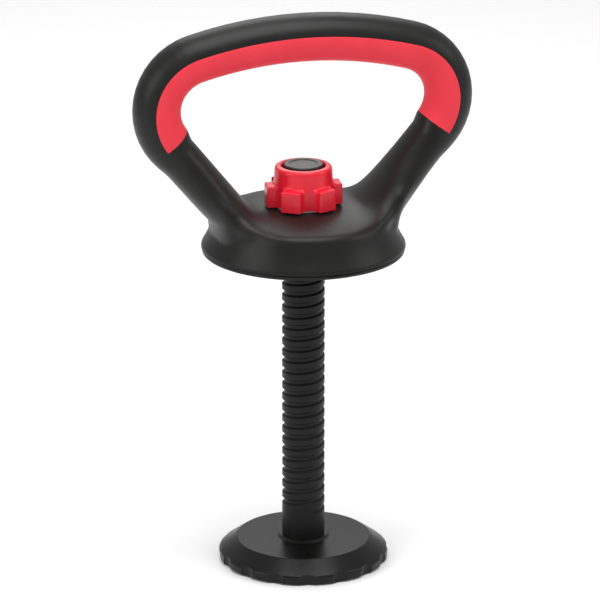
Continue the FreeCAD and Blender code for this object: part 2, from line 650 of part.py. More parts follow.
def make_knob():
    """Six-lobed knob with a plain barrel above its lobes, threaded to match the post."""
    reach, lobes = size("knob_lobe_reach"), int(size("knob_lobes"))
    star = rounded_disc(reach, reach, size("knob_lobe_height"), size("lobe_round"))
    step = math.radians(FULL_TURN / lobes / 2)
    half = math.asin(size("lobe_half_width") / reach)
    gap = step - half
    rim_x, rim_y = reach * math.cos(gap), reach * math.sin(gap)
    valley = size("knob_barrel_radius")
    radius = ((rim_x - valley) ** 2 + rim_y ** 2) / (2 * (rim_x - valley))
    scallop = Part.makeCylinder(radius, size("knob_height"), FreeCAD.Vector(valley + radius, 0, 0))
    star = star.cut(around_axis(scallop, lobes, FULL_TURN / lobes / 2))
    barrel = rounded_disc(valley, size("knob_top_radius"), size("knob_height"), size("knob_round"))
    knob = star.fuse(barrel)
    knob.rotate(ORIGIN, UP, size("knob_turned"))
    knob.translate(FreeCAD.Vector(0, 0, Level.knob))
    rib_top = Level.knob + size("knob_height") - size("knob_mouth_depth")
    mouth = Part.makeCylinder(size("post_radius") + size("thread_gap"), size("knob_height"),
                              FreeCAD.Vector(0, 0, rib_top))
    return solid_feature("star_knob", knob.cut(nut_bore(Level.knob, rib_top)).cut(mouth))


# ---------------------------------------------------------------------------------------------------
# Assembly, checks and files
# ---------------------------------------------------------------------------------------------------
def build():
    """Make every piece at its place."""
    make_foot()
    place(make_foot_pad(), 0.0)
    make_post()
    make_tie_bolt()
    make_tie_stack()
    make_post_cap()
    make_clamp_ring()
    make_clamp_pad()
    make_retainer()
    solid_feature("retainer_screws", retainer_screw_shapes())
    make_bush()
    solid_feature("bush_screws", bush_screw_shapes())
    make_handle()
    washer = ring_body("knob_washer", "dims.post_hole", "dims.knob_washer_radius",
                       "dims.knob_washer_thickness")
    place(washer, Level.knob_washer)
    make_knob()
    doc.recompute()


def pieces():
    """The document's bodies and single features: one for each file."""
    inner = set()
    for body in doc.findObjects("PartDesign::Body"):
        inner.update(item.Name for item in body.OutListRecursive)
    kinds = ("PartDesign::Body", "Part::Feature")
    return [item for item in doc.Objects if item.TypeId in kinds and item.Name not in inner]


def check_document():
    """Stop if any object failed or any piece has no sound shape."""
    for item in doc.Objects:
        if "Invalid" in item.State or "Error" in item.State:
            raise RuntimeError("%s failed: %s" % (item.Label, item.State))
    for piece in pieces():
        if piece.Shape.isNull() or not piece.Shape.isValid() or not piece.Shape.Solids:
            raise RuntimeError(piece.Label + " has no valid solid")


def write_pieces():
    """Write each piece to its own file and print what it holds."""
    os.makedirs("parts", exist_ok=True)
    for piece in pieces():
        piece.Shape.exportStep(os.path.join("parts", piece.Label + ".step"))
        box = piece.Shape.BoundBox
        print("%-16s %d solid(s) %10.1f mm3  z %.2f to %.2f" % (
            piece.Label, len(piece.Shape.Solids), piece.Shape.Volume, box.ZMin, box.ZMax))


build()
check_document()
write_pieces()
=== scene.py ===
"""Looks of a kettlebell handle for weight plates: moulding, soft grip, star knob, threaded post and foot."""

import logging
import math
from collections.abc import Callable
from dataclasses import dataclass, field
from enum import Enum

import bpy
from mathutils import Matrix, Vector


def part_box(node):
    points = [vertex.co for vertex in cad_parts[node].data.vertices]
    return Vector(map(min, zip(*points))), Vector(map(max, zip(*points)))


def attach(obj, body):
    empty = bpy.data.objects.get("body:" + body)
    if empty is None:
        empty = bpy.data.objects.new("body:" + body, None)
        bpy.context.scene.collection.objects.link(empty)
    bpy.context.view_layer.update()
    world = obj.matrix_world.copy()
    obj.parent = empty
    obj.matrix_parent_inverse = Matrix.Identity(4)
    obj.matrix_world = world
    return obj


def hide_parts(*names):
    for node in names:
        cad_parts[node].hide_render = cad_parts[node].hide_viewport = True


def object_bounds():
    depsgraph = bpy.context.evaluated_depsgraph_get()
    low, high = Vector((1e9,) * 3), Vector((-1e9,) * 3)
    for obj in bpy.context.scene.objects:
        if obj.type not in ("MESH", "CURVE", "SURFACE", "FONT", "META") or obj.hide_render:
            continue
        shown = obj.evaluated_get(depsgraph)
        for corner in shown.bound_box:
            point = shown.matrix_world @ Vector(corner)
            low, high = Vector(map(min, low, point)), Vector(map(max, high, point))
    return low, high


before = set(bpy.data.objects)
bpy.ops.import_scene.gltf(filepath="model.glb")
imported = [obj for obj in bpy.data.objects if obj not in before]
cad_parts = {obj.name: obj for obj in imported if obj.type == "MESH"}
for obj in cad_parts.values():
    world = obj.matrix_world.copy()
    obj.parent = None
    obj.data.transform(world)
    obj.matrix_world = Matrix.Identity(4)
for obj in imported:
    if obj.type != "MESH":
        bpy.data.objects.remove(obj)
CAD_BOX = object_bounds()
MM = 0.001
FULL_TURN = 2 * math.pi
SAME_SPOT = 0.01 * MM
AXIS_SPOT = 0.001 * MM
PIT_SHARE = 0.5
WEAR_GAIN = 6.0
SPECK_SHINE = 0.06
GRAIN_DEPTH = 0.05 * MM
FRONT_BLEND = 0.25
CREASE_ANGLE = 40.0
ROUND_POINTS = 96
SPIN_CORNER, SPIN_CROWN = 40, 48
log = logging.getLogger("kettlebell")


# ---------------------------------------------------------------------------------------------------
# Workbench: small steps that every piece is made with
# ---------------------------------------------------------------------------------------------------
class Cut(Enum):
    """How one solid changes another."""

    AWAY = "DIFFERENCE"
    JOIN = "UNION"


def clear_selection() -> None:
    """Leave edit mode and deselect every object."""
    if bpy.context.object and bpy.context.object.mode != "OBJECT":
        bpy.ops.object.mode_set(mode="OBJECT")
    bpy.ops.object.select_all(action="DESELECT")


def take(piece: bpy.types.Object) -> bpy.types.Object:
    """Make one object the only selected and active one.

    Args:
        piece: The object to work on.

    Returns:
        The same object.
    """
    clear_selection()
    piece.hide_viewport = False
    piece.select_set(True)
    bpy.context.view_layer.objects.active = piece
    return piece


def name_new(name: str) -> bpy.types.Object:
    """Name the object that an operator has just added, and its mesh.

    Args:
        name: The piece's name.

    Returns:
        The new object, in object mode.
    """
    piece = bpy.context.object
    if piece.mode != "OBJECT":
        bpy.ops.object.mode_set(mode="OBJECT")
    piece.name = piece.data.name = name
    return piece


def pick_vertices(piece: bpy.types.Object, test: Callable[[Vector], bool]) -> None:
    """Select a piece's vertices by their place, and go to edit mode.

    Args:
        piece: The object whose mesh is picked from.
        test: Says of a vertex's place whether it is picked.
    """
    take(piece)
    bpy.ops.object.mode_set(mode="EDIT")
    bpy.ops.mesh.select_mode(type="VERT")
    bpy.ops.mesh.select_all(action="DESELECT")
    bpy.ops.object.mode_set(mode="OBJECT")
    for vertex in piece.data.vertices:
        vertex.select = test(vertex.co)
    bpy.ops.object.mode_set(mode="EDIT")


def use_modifier(piece: bpy.types.Object, kind: str, **settings: object) -> None:
    """Add a modifier to a piece, set it up and apply it.

    Args:
        piece: The object that is changed.
        kind: The modifier's type.
        settings: Its settings by name.
    """
    take(piece)
    modifier = piece.modifiers.new(kind.lower(), kind)
    for name, value in settings.items():
        setattr(modifier, name, value)
    bpy.ops.object.modifier_apply(modifier=modifier.name)


def cut_with(piece: bpy.types.Object, tool: bpy.types.Object, cut: Cut) -> None:
    """Change a piece by a second solid, which is then removed.

    Args:
        piece: The solid that stays.
        tool: The solid that is used up.
        cut: Whether the tool is taken away or joined.
    """
    use_modifier(piece, "BOOLEAN", object=tool, operation=cut.value, solver="EXACT")
    bpy.data.objects.remove(tool)


def close_up(piece: bpy.types.Object, angle: float = 35.0) -> bpy.types.Object:
    """Merge doubles, turn every face outwards and shade the piece, creased where it is sharp.

    Args:
        piece: The finished shape.
        angle: The edge angle, in degrees, from which an edge stays sharp.

    Returns:
        The same object.
    """
    take(piece)
    bpy.ops.object.mode_set(mode="EDIT")
    bpy.ops.mesh.select_all(action="SELECT")
    bpy.ops.mesh.remove_doubles(threshold=SAME_SPOT)
    bpy.ops.mesh.normals_make_consistent(inside=False)
    bpy.ops.object.mode_set(mode="OBJECT")
    bpy.ops.object.transform_apply(location=True, rotation=True, scale=True)
    bpy.ops.object.shade_smooth_by_angle(angle=math.radians(angle))
    return piece


def turned(name: str, outline: list[tuple[float, float]], steps: int) -> bpy.types.Object:
    """Solid turned about the post's axis, from an outline drawn by extruding a point.

    Args:
        name: The piece's name.
        outline: Its (radius, height) corners in metres, from the axis back to the axis.
        steps: Faces round the axis.

    Returns:
        The new object.
    """
    clear_selection()
    bpy.ops.mesh.primitive_plane_add(size=MM)
    piece = name_new(name)
    bpy.ops.object.mode_set(mode="EDIT")
    bpy.ops.mesh.select_mode(type="VERT")
    bpy.ops.mesh.select_all(action="SELECT")
    bpy.ops.mesh.merge(type="CENTER")
    here = Vector((0.0, 0.0, 0.0))
    for index, (radius, height) in enumerate(outline):
        there = Vector((radius, 0.0, height))
        if index:
            bpy.ops.mesh.extrude_region_move(TRANSFORM_OT_translate={"value": there - here})
        else:
            bpy.ops.transform.translate(value=there - here)
        here = there
    bpy.ops.mesh.select_all(action="SELECT")
    bpy.ops.mesh.spin(steps=steps, angle=FULL_TURN, center=(0, 0, 0), axis=(0, 0, 1))
    bpy.ops.mesh.select_all(action="SELECT")
    bpy.ops.mesh.remove_doubles(threshold=AXIS_SPOT)
    bpy.ops.mesh.normals_make_consistent(inside=False)
    bpy.ops.object.mode_set(mode="OBJECT")
    return piece


# ---------------------------------------------------------------------------------------------------
# Finishes
# ---------------------------------------------------------------------------------------------------
class NodeSheet:
    """A node tree that is written one node at a time."""

    def __init__(self, tree: bpy.types.NodeTree) -> None:
        """Start on an empty tree.

        Args:
            tree: The node tree of a material or of a group.
        """
        self.tree = tree
        tree.nodes.clear()

    def add(self, kind: str, inputs: dict | None = None, **settings: object) -> bpy.types.Node:
        """Add a node, set its properties and link or fill its inputs.

        Args:
            kind: The node's type.
            inputs: Sockets to link from, or values, by the input's name or number.
            settings: Node properties by name.

        Returns:
            The new node.
        """
        node = self.tree.nodes.new(kind)
        for name, value in settings.items():
            setattr(node, name, value)
        for key, value in (inputs or {}).items():
            if isinstance(value, bpy.types.NodeSocket):
                self.tree.links.new(value, node.inputs[key])
            else:
                node.inputs[key].default_value = value
        return node

    def math(self, operation: str, first: object, second: object = 0.0,
             clamp: bool = False) -> bpy.types.NodeSocket:
        """One step of arithmetic.

        Args:
            operation: The Math node's operation.
            first: A socket or a number.
            second: A socket or a number.
            clamp: Whether the result stays within 0 and 1.

        Returns:
            The result's socket.
        """
        node = self.add("ShaderNodeMath", {0: first, 1: second}, operation=operation, use_clamp=clamp)
        return node.outputs[0]

    def blend(self, factor: object, first: object, second: object) -> bpy.types.NodeSocket:
        """Mix two colours.

        Args:
            factor: The share of the second colour, a socket or a number.
            first: A socket or a colour.
            second: A socket or a colour.

        Returns:
            The mixed colour's socket.
        """
        node = self.add("ShaderNodeMix", {0: factor, 6: first, 7: second}, data_type="RGBA")
        return node.outputs[2]


def new_group(name: str, inputs: dict[str, float], vector: str, outputs: list[str]) -> NodeSheet:
    """An empty shader group with named sockets.

    Args:
        name: The group's name.
        inputs: Number sockets and their defaults.
        vector: The name of its one vector input.
        outputs: Number outputs.

    Returns:
        The group's sheet.
    """
    tree = bpy.data.node_groups.new(name, "ShaderNodeTree")
    tree.interface.new_socket(name=vector, in_out="INPUT", socket_type="NodeSocketVector")
    for title, default in inputs.items():
        socket = tree.interface.new_socket(name=title, in_out="INPUT", socket_type="NodeSocketFloat")
        socket.default_value = default
    for title in outputs:
        tree.interface.new_socket(name=title, in_out="OUTPUT", socket_type="NodeSocketFloat")
    return NodeSheet(tree)


def build_grain() -> bpy.types.NodeTree:
    """Fine grain of a mould: bump height, broad clouding and tiny specks.

    Returns:
        The node group.
    """
    sheet = new_group("mould_grain", {"Grain": 2500.0, "Cloud": 45.0}, "Vector",
                      ["Height", "Clouding", "Specks"])
    source = sheet.add("NodeGroupInput")
    place, scale = source.outputs["Vector"], source.outputs["Grain"]
    fine = sheet.add("ShaderNodeTexNoise", {"Vector": place, "Scale": scale, "Detail": 3.0, "Roughness": 0.6})
    pits = sheet.add("ShaderNodeTexVoronoi", {"Vector": place, "Scale": scale})
    cloud = sheet.add("ShaderNodeTexNoise", {"Vector": place, "Scale": source.outputs["Cloud"], "Detail": 4.0,
                                             "Roughness": 0.55})
    height = sheet.math("ADD", fine.outputs[0], sheet.math("MULTIPLY", pits.outputs["Distance"], PIT_SHARE))
    spread = sheet.add("ShaderNodeMapRange", {"Value": cloud.outputs[0], "From Min": 0.32, "From Max": 0.68})
    specks = sheet.add("ShaderNodeMapRange", {"Value": fine.outputs[0], "From Min": 0.62, "From Max": 0.75})
    sheet.add("NodeGroupOutput", {"Height": height, "Clouding": spread.outputs[0],
                                  "Specks": specks.outputs[0]})
    return sheet.tree


def build_edge_wear() -> bpy.types.NodeTree:
    """Mask of edges that are rubbed brighter, broken up by noise.

    Returns:
        The node group.
    """
    sheet = new_group("edge_wear", {"Reach": 0.0012, "Breakup": 220.0}, "Vector", ["Worn"])
    source = sheet.add("NodeGroupInput")
    rounded = sheet.add("ShaderNodeBevel", {"Radius": source.outputs["Reach"]}, samples=4)
    plain = sheet.add("ShaderNodeNewGeometry")
    along = sheet.add("ShaderNodeVectorMath", {0: rounded.outputs[0], 1: plain.outputs["Normal"]},
                      operation="DOT_PRODUCT")
    bend = sheet.math("MULTIPLY", sheet.math("SUBTRACT", 1.0, along.outputs["Value"]), WEAR_GAIN, clamp=True)
    noise = sheet.add("ShaderNodeTexNoise", {"Vector": source.outputs["Vector"],
                                             "Scale": source.outputs["Breakup"], "Detail": 3.0})
    broken = sheet.add("ShaderNodeMapRange", {"Value": noise.outputs[0], "From Min": 0.4, "From Max": 0.65})
    sheet.add("NodeGroupOutput", {"Worn": sheet.math("MULTIPLY", bend, broken.outputs[0])})
    return sheet.tree


Colour = tuple[float, float, float]


def opaque(colour: Colour) -> tuple[float, float, float, float]:
    """A colour with full alpha."""
    return (*colour, 1.0)


@dataclass(frozen=True)
class Finish:
    """A moulded, rubber or metal surface. Lengths in metres, grain as cells per metre."""

    name: str
    colour: Colour
    clouded: Colour
    worn: Colour
    roughness: float
    roughness_spread: float = 0.08
    grain: float = 2200.0
    grain_height: float = 0.25
    cloud: float = 40.0
    wear: float = 0.5
    wear_reach: float = 0.8 * MM
    specular: float = 0.5
    metallic: float = 0.0
    sheen: float = 0.0
    sheen_roughness: float = 0.4
    coat: float = 0.0
    coat_roughness: float = 0.1
    subsurface: float = 0.0

    def material(self) -> bpy.types.Material:
        """The Blender material of this finish, made the first time it is asked for.

        Returns:
            The material.
        """
        title = "finish_" + self.name
        known = bpy.data.materials.get(title)
        if known:
            return known
        made = bpy.data.materials.new(title)
        made.use_nodes = True
        sheet = NodeSheet(made.node_tree)
        place = sheet.add("ShaderNodeTexCoord").outputs["Object"]
        grain = sheet.add("ShaderNodeGroup", {}, node_tree=bpy.data.node_groups["mould_grain"])
        wear = sheet.add("ShaderNodeGroup", {}, node_tree=bpy.data.node_groups["edge_wear"])
        for node, values in ((grain, {"Grain": self.grain, "Cloud": self.cloud}),
                             (wear, {"Reach": self.wear_reach})):
            sheet.tree.links.new(place, node.inputs["Vector"])
            for title, value in values.items():
                node.inputs[title].default_value = value
        rubbed = sheet.math("MULTIPLY", wear.outputs["Worn"], self.wear)
        base = sheet.blend(grain.outputs["Clouding"], opaque(self.colour), opaque(self.clouded))
        base = sheet.blend(rubbed, base, opaque(self.worn))
        drift = sheet.math("MULTIPLY_ADD", grain.outputs["Clouding"], self.roughness_spread)
        drift.node.inputs[2].default_value = self.roughness - self.roughness_spread / 2
        shine = sheet.math("MULTIPLY", grain.outputs["Specks"], SPECK_SHINE)
        rough = sheet.math("SUBTRACT", drift, shine, clamp=True)
        bump = sheet.add("ShaderNodeBump", {"Height": grain.outputs["Height"], "Strength": self.grain_height,
                                            "Distance": GRAIN_DEPTH})
        shader = sheet.add("ShaderNodeBsdfPrincipled", {
            "Base Color": base, "Roughness": rough, "Normal": bump.outputs[0], "Metallic": self.metallic,
            "Specular IOR Level": self.specular, "Sheen Weight": self.sheen,
            "Sheen Roughness": self.sheen_roughness, "Coat Weight": self.coat,
            "Coat Roughness": self.coat_roughness, "Subsurface Weight": self.subsurface})
        sheet.add("ShaderNodeOutputMaterial", {"Surface": shader.outputs[0]})
        return made


SATIN_BLACK = Finish("satin_black", (0.0080, 0.0083, 0.0076), (0.0115, 0.0119, 0.0108), (0.034, 0.035, 0.032),
                     roughness=0.38, specular=0.24)
FOOT_BLACK = Finish("foot_black", (0.0040, 0.0042, 0.0038), (0.0062, 0.0065, 0.0058), (0.020, 0.020, 0.018),
                    roughness=0.30, specular=0.24, grain_height=0.20)
POST_BLACK = Finish("post_black", (0.0058, 0.0060, 0.0056), (0.0085, 0.0088, 0.0082), (0.024, 0.024, 0.023),
                    roughness=0.44, specular=0.20)
SOFT_RED = Finish("soft_red", (0.88, 0.048, 0.074), (0.81, 0.042, 0.064), (0.92, 0.11, 0.13),
                  roughness=0.62, specular=0.22, grain_height=0.4, wear=0.25, sheen=0.06, subsurface=0.05)
KNOB_RED = Finish("knob_red", (0.86, 0.013, 0.038), (0.80, 0.011, 0.032), (0.90, 0.07, 0.085),
                  roughness=0.30, specular=0.40, grain_height=0.06, wear=0.3, coat=0.15, subsurface=0.04)
CAP_BLACK = Finish("cap_black", (0.020, 0.022, 0.020), (0.032, 0.034, 0.031), (0.07, 0.07, 0.066),
                   roughness=0.34, specular=0.55, grain_height=0.3)
PAD_RUBBER = Finish("pad_rubber", (0.012, 0.012, 0.012), (0.020, 0.020, 0.019), (0.05, 0.05, 0.05),
                    roughness=0.78, specular=0.3, grain=1500.0, grain_height=0.6, sheen=0.1)
BUSH_GREY = Finish("bush_grey", (0.060, 0.062, 0.064), (0.080, 0.082, 0.084), (0.16, 0.16, 0.16),
                   roughness=0.5)
GLIDE_WHITE = Finish("glide_white", (0.72, 0.72, 0.69), (0.66, 0.66, 0.62), (0.80, 0.80, 0.78),
                     roughness=0.35, grain_height=0.1)
ZINC_STEEL = Finish("zinc_steel", (0.55, 0.57, 0.60), (0.46, 0.48, 0.52), (0.75, 0.76, 0.78), roughness=0.3,
                    roughness_spread=0.2, grain_height=0.2, metallic=1.0)


# ---------------------------------------------------------------------------------------------------
# Handle: hub, horns and bow
# ---------------------------------------------------------------------------------------------------
@dataclass(frozen=True)
class Section:
    """Elliptical cut through the handle's loop, across its centreline in the XZ plane."""

    x: float
    z: float
    turn: float
    half_height: float
    half_depth: float

    def mirrored(self) -> "Section":
        """The same cut on the other side of the post."""
        return Section(-self.x, self.z, -self.turn, self.half_height, self.half_depth)


@dataclass
class Bow:
    """Centreline of the bow: a crown arc and two corner arcs, with one elliptical section."""

    half_height: float = 15.5 * MM
    half_depth: float = 17.0 * MM
    crown_radius: float = 264.0 * MM
    corner_radius: float = 35.0 * MM
    horn_lean: float = 39.4
    seam_offset: float = 4.0 * MM
    grip_end: float = 126.0
    end_gap: float = 0.3
    top: float = field(init=False)
    corner_x: float = field(init=False)
    crown_z: float = field(init=False)
    corner_z: float = field(init=False)
    join: float = field(init=False)

    def __post_init__(self) -> None:
        """Place the arcs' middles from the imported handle's height and width."""
        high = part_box("handle_body")[1]
        self.top = high.z - self.half_height
        self.corner_x = high.x - self.half_height - self.corner_radius
        self.crown_z = self.top - self.crown_radius
        reach = self.crown_radius - self.corner_radius
        self.corner_z = self.crown_z + math.sqrt(reach ** 2 - self.corner_x ** 2)
        self.join = math.degrees(math.asin(self.corner_x / reach))

    def section(self, turn: float) -> Section:
        """Cut of the right half of the bow where its outward direction has turned from upright.

        Args:
            turn: Degrees from upright, from 0 at the crown's top to the horn's end of the corner.

        Returns:
            The section.
        """
        bearing = math.radians(turn)
        if turn <= self.join:
            x, z, radius = 0.0, self.crown_z, self.crown_radius
        else:
            x, z, radius = self.corner_x, self.corner_z, self.corner_radius
        return Section(x + radius * math.sin(bearing), z + radius * math.cos(bearing), turn,
                       self.half_height, self.half_depth)


# Down the horn: share of its length, half height and half depth in mm.
HORN_CUTS = ((0.10, 14.2, 17.2), (0.22, 13.6, 17.8), (0.40, 13.5, 19.6), (0.60, 13.4, 23.0), (0.78, 13.2, 27.0),
             (0.92, 12.8, 32.0))
# Where the saddle starts: half height and half depth in mm.
ROOT_CUT = (11.2, 37.0)
# Round the saddle, after its start: degrees from upright, half height and half depth in mm.
SADDLE_CUTS = ((145.0, 9.2, 41.5), (162.0, 7.4, 46.5), (180.0, 7.0, 49.5))
# Under the horn's root: reach of the outer point in mm, its height over the knob's seat, degrees from upright,
# half height and half depth.
FLANK_CUTS = ((74.6, 12.8, 127.0, 9.0, 22.0), (66.2, 2.8, 121.0, 10.0, 29.0), (61.8, -6.2, 109.0, 10.0, 31.0),
              (60.8, -15.2, 96.0, 10.0, 29.0), (61.4, -21.2, 90.0, 8.0, 26.0))


@dataclass
class Handle:
    """One moulding: a hub with a flared skirt, two horns and the bow. Lengths in metres.

    The hub's outline is given as reach and height: the waist's height is over the lower edge, the others'
    heights are over the knob's seat.
    """

    bow: Bow
    crown_steps: int = 6
    corner_steps: int = 14
    ring_points: int = 48
    voxel: float = 1.4 * MM
    inset: float = 2.1 * MM
    floor_half_height: float = 7.0 * MM
    seat_reach: float = 28.5 * MM
    saddle_radius: float = 12.0 * MM
    ridge_depth: float = 56.0 * MM
    hub_points: int = 128
    overrun: float = 3.0 * MM
    flare_height: float = 1.8 * MM
    waist: tuple[float, float] = (61.9 * MM, 10.1 * MM)
    shoulder: tuple[float, float] = (58.8 * MM, -9.0 * MM)
    brow: tuple[float, float] = (57.4 * MM, -6.2 * MM)
    ridge: tuple[float, float] = (54.6 * MM, -4.6 * MM)
    crown: tuple[float, float] = (39.5 * MM, -1.4 * MM)
    floor_reach: float = 22.5 * MM
    retainer_gap: float = 0.3 * MM
    cavity_radius: float = 50.0 * MM
    shank_radius: float = 24.0 * MM
    hole_radius: float = 15.0 * MM
    roof_drop: float = 12.6 * MM
    overshoot: float = 9.0 * MM
    tool_reach: float = 90.0 * MM
    recess_grow: float = 3.0 * MM
    polish_passes: int = 4
    blend_passes: int = 34
    seat: float = field(init=False)

    def __post_init__(self) -> None:
        """Find the height of the flat that the knob's washer lies on."""
        self.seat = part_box("knob_washer")[0].z - 0.1 * MM

    def saddle_sections(self) -> list[Section]:
        """Cuts down the right horn and across the hub to its middle; they widen and flatten on the way.

        Returns:
            The sections, from the end of the bow's corner to the hub's middle.
        """
        slope = 90.0 + self.bow.horn_lean
        bearing = math.radians(slope)
        foot = self.on_saddle(slope)
        start = self.bow.section(slope)
        thick = start.half_height - self.inset
        top = (start.x - thick * math.sin(bearing), start.z - thick * math.cos(bearing))
        cuts = []
        for share, height, depth in HORN_CUTS:
            inner = [a + (b - a) * share for a, b in zip(top, foot)]
            cuts.append(self.from_inner(inner[0], inner[1], slope, height * MM, depth * MM))
        for turn, height, depth in ((slope, *ROOT_CUT), *SADDLE_CUTS):
            cuts.append(self.from_inner(*self.on_saddle(turn), turn, height * MM, depth * MM))
        for share in (0.5, 0.0):
            x = self.seat_reach * share
            depth = math.sqrt(self.ridge_depth ** 2 - x ** 2)
            cuts.append(self.from_inner(x, self.seat, 180.0, self.floor_half_height, depth))
        return cuts

    def on_saddle(self, turn: float) -> tuple[float, float]:
        """Point on the curve between the horn's inner line and the knob's seat.

        Args:
            turn: Degrees of its outward direction from upright.

        Returns:
            Its place across and its height.
        """
        bearing = math.radians(turn)
        return (self.seat_reach + self.saddle_radius * math.sin(bearing),
                self.seat + self.saddle_radius + self.saddle_radius * math.cos(bearing))

    def from_inner(self, x: float, z: float, turn: float, height: float, depth: float) -> Section:
        """Section whose innermost point is given.

        Args:
            x: The innermost point's place across.
            z: The innermost point's height.
            turn: Degrees of the outward direction from upright.
            height: Half size along the outward direction.
            depth: Half size along Y.

        Returns:
            The section.
        """
        bearing = math.radians(turn)
        return Section(x + height * math.sin(bearing), z + height * math.cos(bearing), turn, height, depth)

    def loop(self) -> bpy.types.Object:
        """Closed loop of sections through the bow, both horns and the hub.

        Returns:
            The loop as one closed tube.
        """
        end = 90.0 + self.bow.horn_lean
        turns = [self.bow.join * i / self.crown_steps for i in range(self.crown_steps + 1)]
        turns += [self.bow.join + (end - self.bow.join) * (i + 1) / self.corner_steps
                  for i in range(self.corner_steps)]
        right = [self.bow.section(turn) for turn in turns] + self.saddle_sections()
        left = [cut.mirrored() for cut in reversed(right[1:-1])]
        return tube("handle_loop", right + left, self.ring_points)

    def flank(self) -> bpy.types.Object:
        """Flesh under the root of the right horn, which runs down into the hub's waist.

        Returns:
            A closed tube.
        """
        cuts = []
        for x, rise, turn, height, depth in FLANK_CUTS:
            bearing = math.radians(turn)
            middle_x = (x - height * math.sin(bearing)) * MM
            middle_z = self.seat + (rise - height * math.cos(bearing)) * MM
            cuts.append(Section(middle_x, middle_z, turn, height * MM, depth * MM))
        return tube("flank", cuts, self.ring_points, closed=False)

    def hub(self) -> bpy.types.Object:
        """Hub with its flared skirt, waist and crowned floor; it runs on below its lower edge.

        Returns:
            The solid hub.
        """
        low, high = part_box("handle_body")
        edge, start = high.y - 0.1 * MM, low.z - self.overrun
        flare, waist = (edge, low.z + self.flare_height), (self.waist[0], low.z + self.waist[1])
        shoulder, brow, ridge, crown = (
            (reach, self.seat + rise) for reach, rise in (self.shoulder, self.brow, self.ridge, self.crown))
        outline = [(0.0, start), (edge, start), flare]
        outline += arc_through(flare, waist, shoulder, 10)
        outline += arc_through(shoulder, brow, ridge, 6)
        outline += arc_through(ridge, crown, (self.floor_reach, self.seat), 8)
        outline.append((0.0, self.seat))
        return turned("hub", outline, self.hub_points)

    def hollow(self) -> bpy.types.Object:
        """Everything below the hub, with the space in it for the bush, the collar and the retainer.

        Returns:
            The solid to take away.
        """
        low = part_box("handle_body")[0].z
        retainer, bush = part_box("clamp_retainer")[1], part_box("thread_bush")[1]
        mouth, past = retainer.y + self.retainer_gap, self.tool_reach
        roof, below, above = self.seat - self.roof_drop, low - self.overshoot, self.seat + self.overshoot
        outline = [(0.0, below), (past, below), (past, low), (mouth, low), (mouth, retainer.z),
                   (self.cavity_radius, retainer.z), (self.cavity_radius, roof), (self.shank_radius, roof),
                   (self.shank_radius, bush.z), (self.hole_radius, bush.z), (self.hole_radius, above),
                   (0.0, above)]
        return turned("hub_hollow", outline, ROUND_POINTS)

    def recess(self) -> bpy.types.Object:
        """Space that the soft grip takes from the inner side of the bow.

        Returns:
            The solid to take away.
        """
        return swept_half("grip_recess", self.bow, self.bow.grip_end + self.bow.end_gap, self.bow.seam_offset,
                          self.recess_grow, 0.0)

    def build(self) -> bpy.types.Object:
        """The finished handle, riding with the handle body.

        Returns:
            The handle.
        """
        handle = self.loop()
        for part in (self.hub(), self.flank(), mirrored(self.flank())):
            cut_with(handle, part, Cut.JOIN)
        take(handle)
        handle.data.remesh_voxel_size = self.voxel
        bpy.ops.object.voxel_remesh()
        self.soften(handle)
        cut_with(handle, self.hollow(), Cut.AWAY)
        cut_with(handle, self.recess(), Cut.AWAY)
        handle.name = handle.data.name = "handle_moulding"
        close_up(handle, CREASE_ANGLE)
        dress(handle, SATIN_BLACK, "handle", "moulded_black", "handle_body")
        return handle

    def soften(self, handle: bpy.types.Object) -> None:
        """Blend the horns into the hub, most between the waist and the foot of the horns.

        Args:
            handle: The voxel mesh of the whole moulding.
        """
        everywhere = handle.vertex_groups.new(name="everywhere")
        blend = handle.vertex_groups.new(name="blend")
        for vertex in handle.data.vertices:
            rise = vertex.co.z - self.seat
            reach = math.hypot(vertex.co.x, vertex.co.y)
            everywhere.add([vertex.index], 1.0, "REPLACE")
            share = ramp(rise, -14.0, -7.0) * ramp(-rise, -40.0, -16.0) * ramp(reach, 27.0, 33.0)
            share *= max(FRONT_BLEND, ramp(abs(vertex.co.x), 18.0, 32.0))
            if share > 0:
                blend.add([vertex.index], share, "REPLACE")
        use_modifier(handle, "SMOOTH", iterations=self.polish_passes, factor=0.5, vertex_group="everywhere")
        use_modifier(handle, "SMOOTH", iterations=self.blend_passes, factor=0.5, vertex_group="blend")


def ramp(value: float, start: float, end: float) -> float:
    """How far a length has gone from one place to another, kept within 0 and 1.

    Args:
        value: The length in metres.
        start: Where the ramp starts, in mm.
        end: Where it ends, in mm.

    Returns:
        The share.
    """
    return min(1.0, max(0.0, (value - start * MM) / ((end - start) * MM)))


def arc_through(first: tuple[float, float], middle: tuple[float, float], last: tuple[float, float],
                steps: int) -> list[tuple[float, float]]:
    """Points on the arc through three points, without the first one.

    Args:
        first: Where the arc starts.
        middle: A point on it.
        last: Where it ends.
        steps: How many points it is divided into.

    Returns:
        The points after the first.
    """
    (ax, ay), (bx, by), (cx, cy) = first, middle, last
    double = 2 * (ax * (by - cy) + bx * (cy - ay) + cx * (ay - by))
    squares = [x * x + y * y for x, y in (first, middle, last)]
    mx = (squares[0] * (by - cy) + squares[1] * (cy - ay) + squares[2] * (ay - by)) / double
    my = (squares[0] * (cx - bx) + squares[1] * (ax - cx) + squares[2] * (bx - ax)) / double
    radius = math.hypot(ax - mx, ay - my)
    angles = [math.atan2(y - my, x - mx) for x, y in (first, middle, last)]
    sweep = math.remainder(angles[1] - angles[0], FULL_TURN)
    sweep += math.remainder(angles[2] - angles[1], FULL_TURN)
    bearings = [angles[0] + sweep * i / steps for i in range(1, steps + 1)]
    return [(mx + radius * math.cos(bearing), my + radius * math.sin(bearing)) for bearing in bearings]


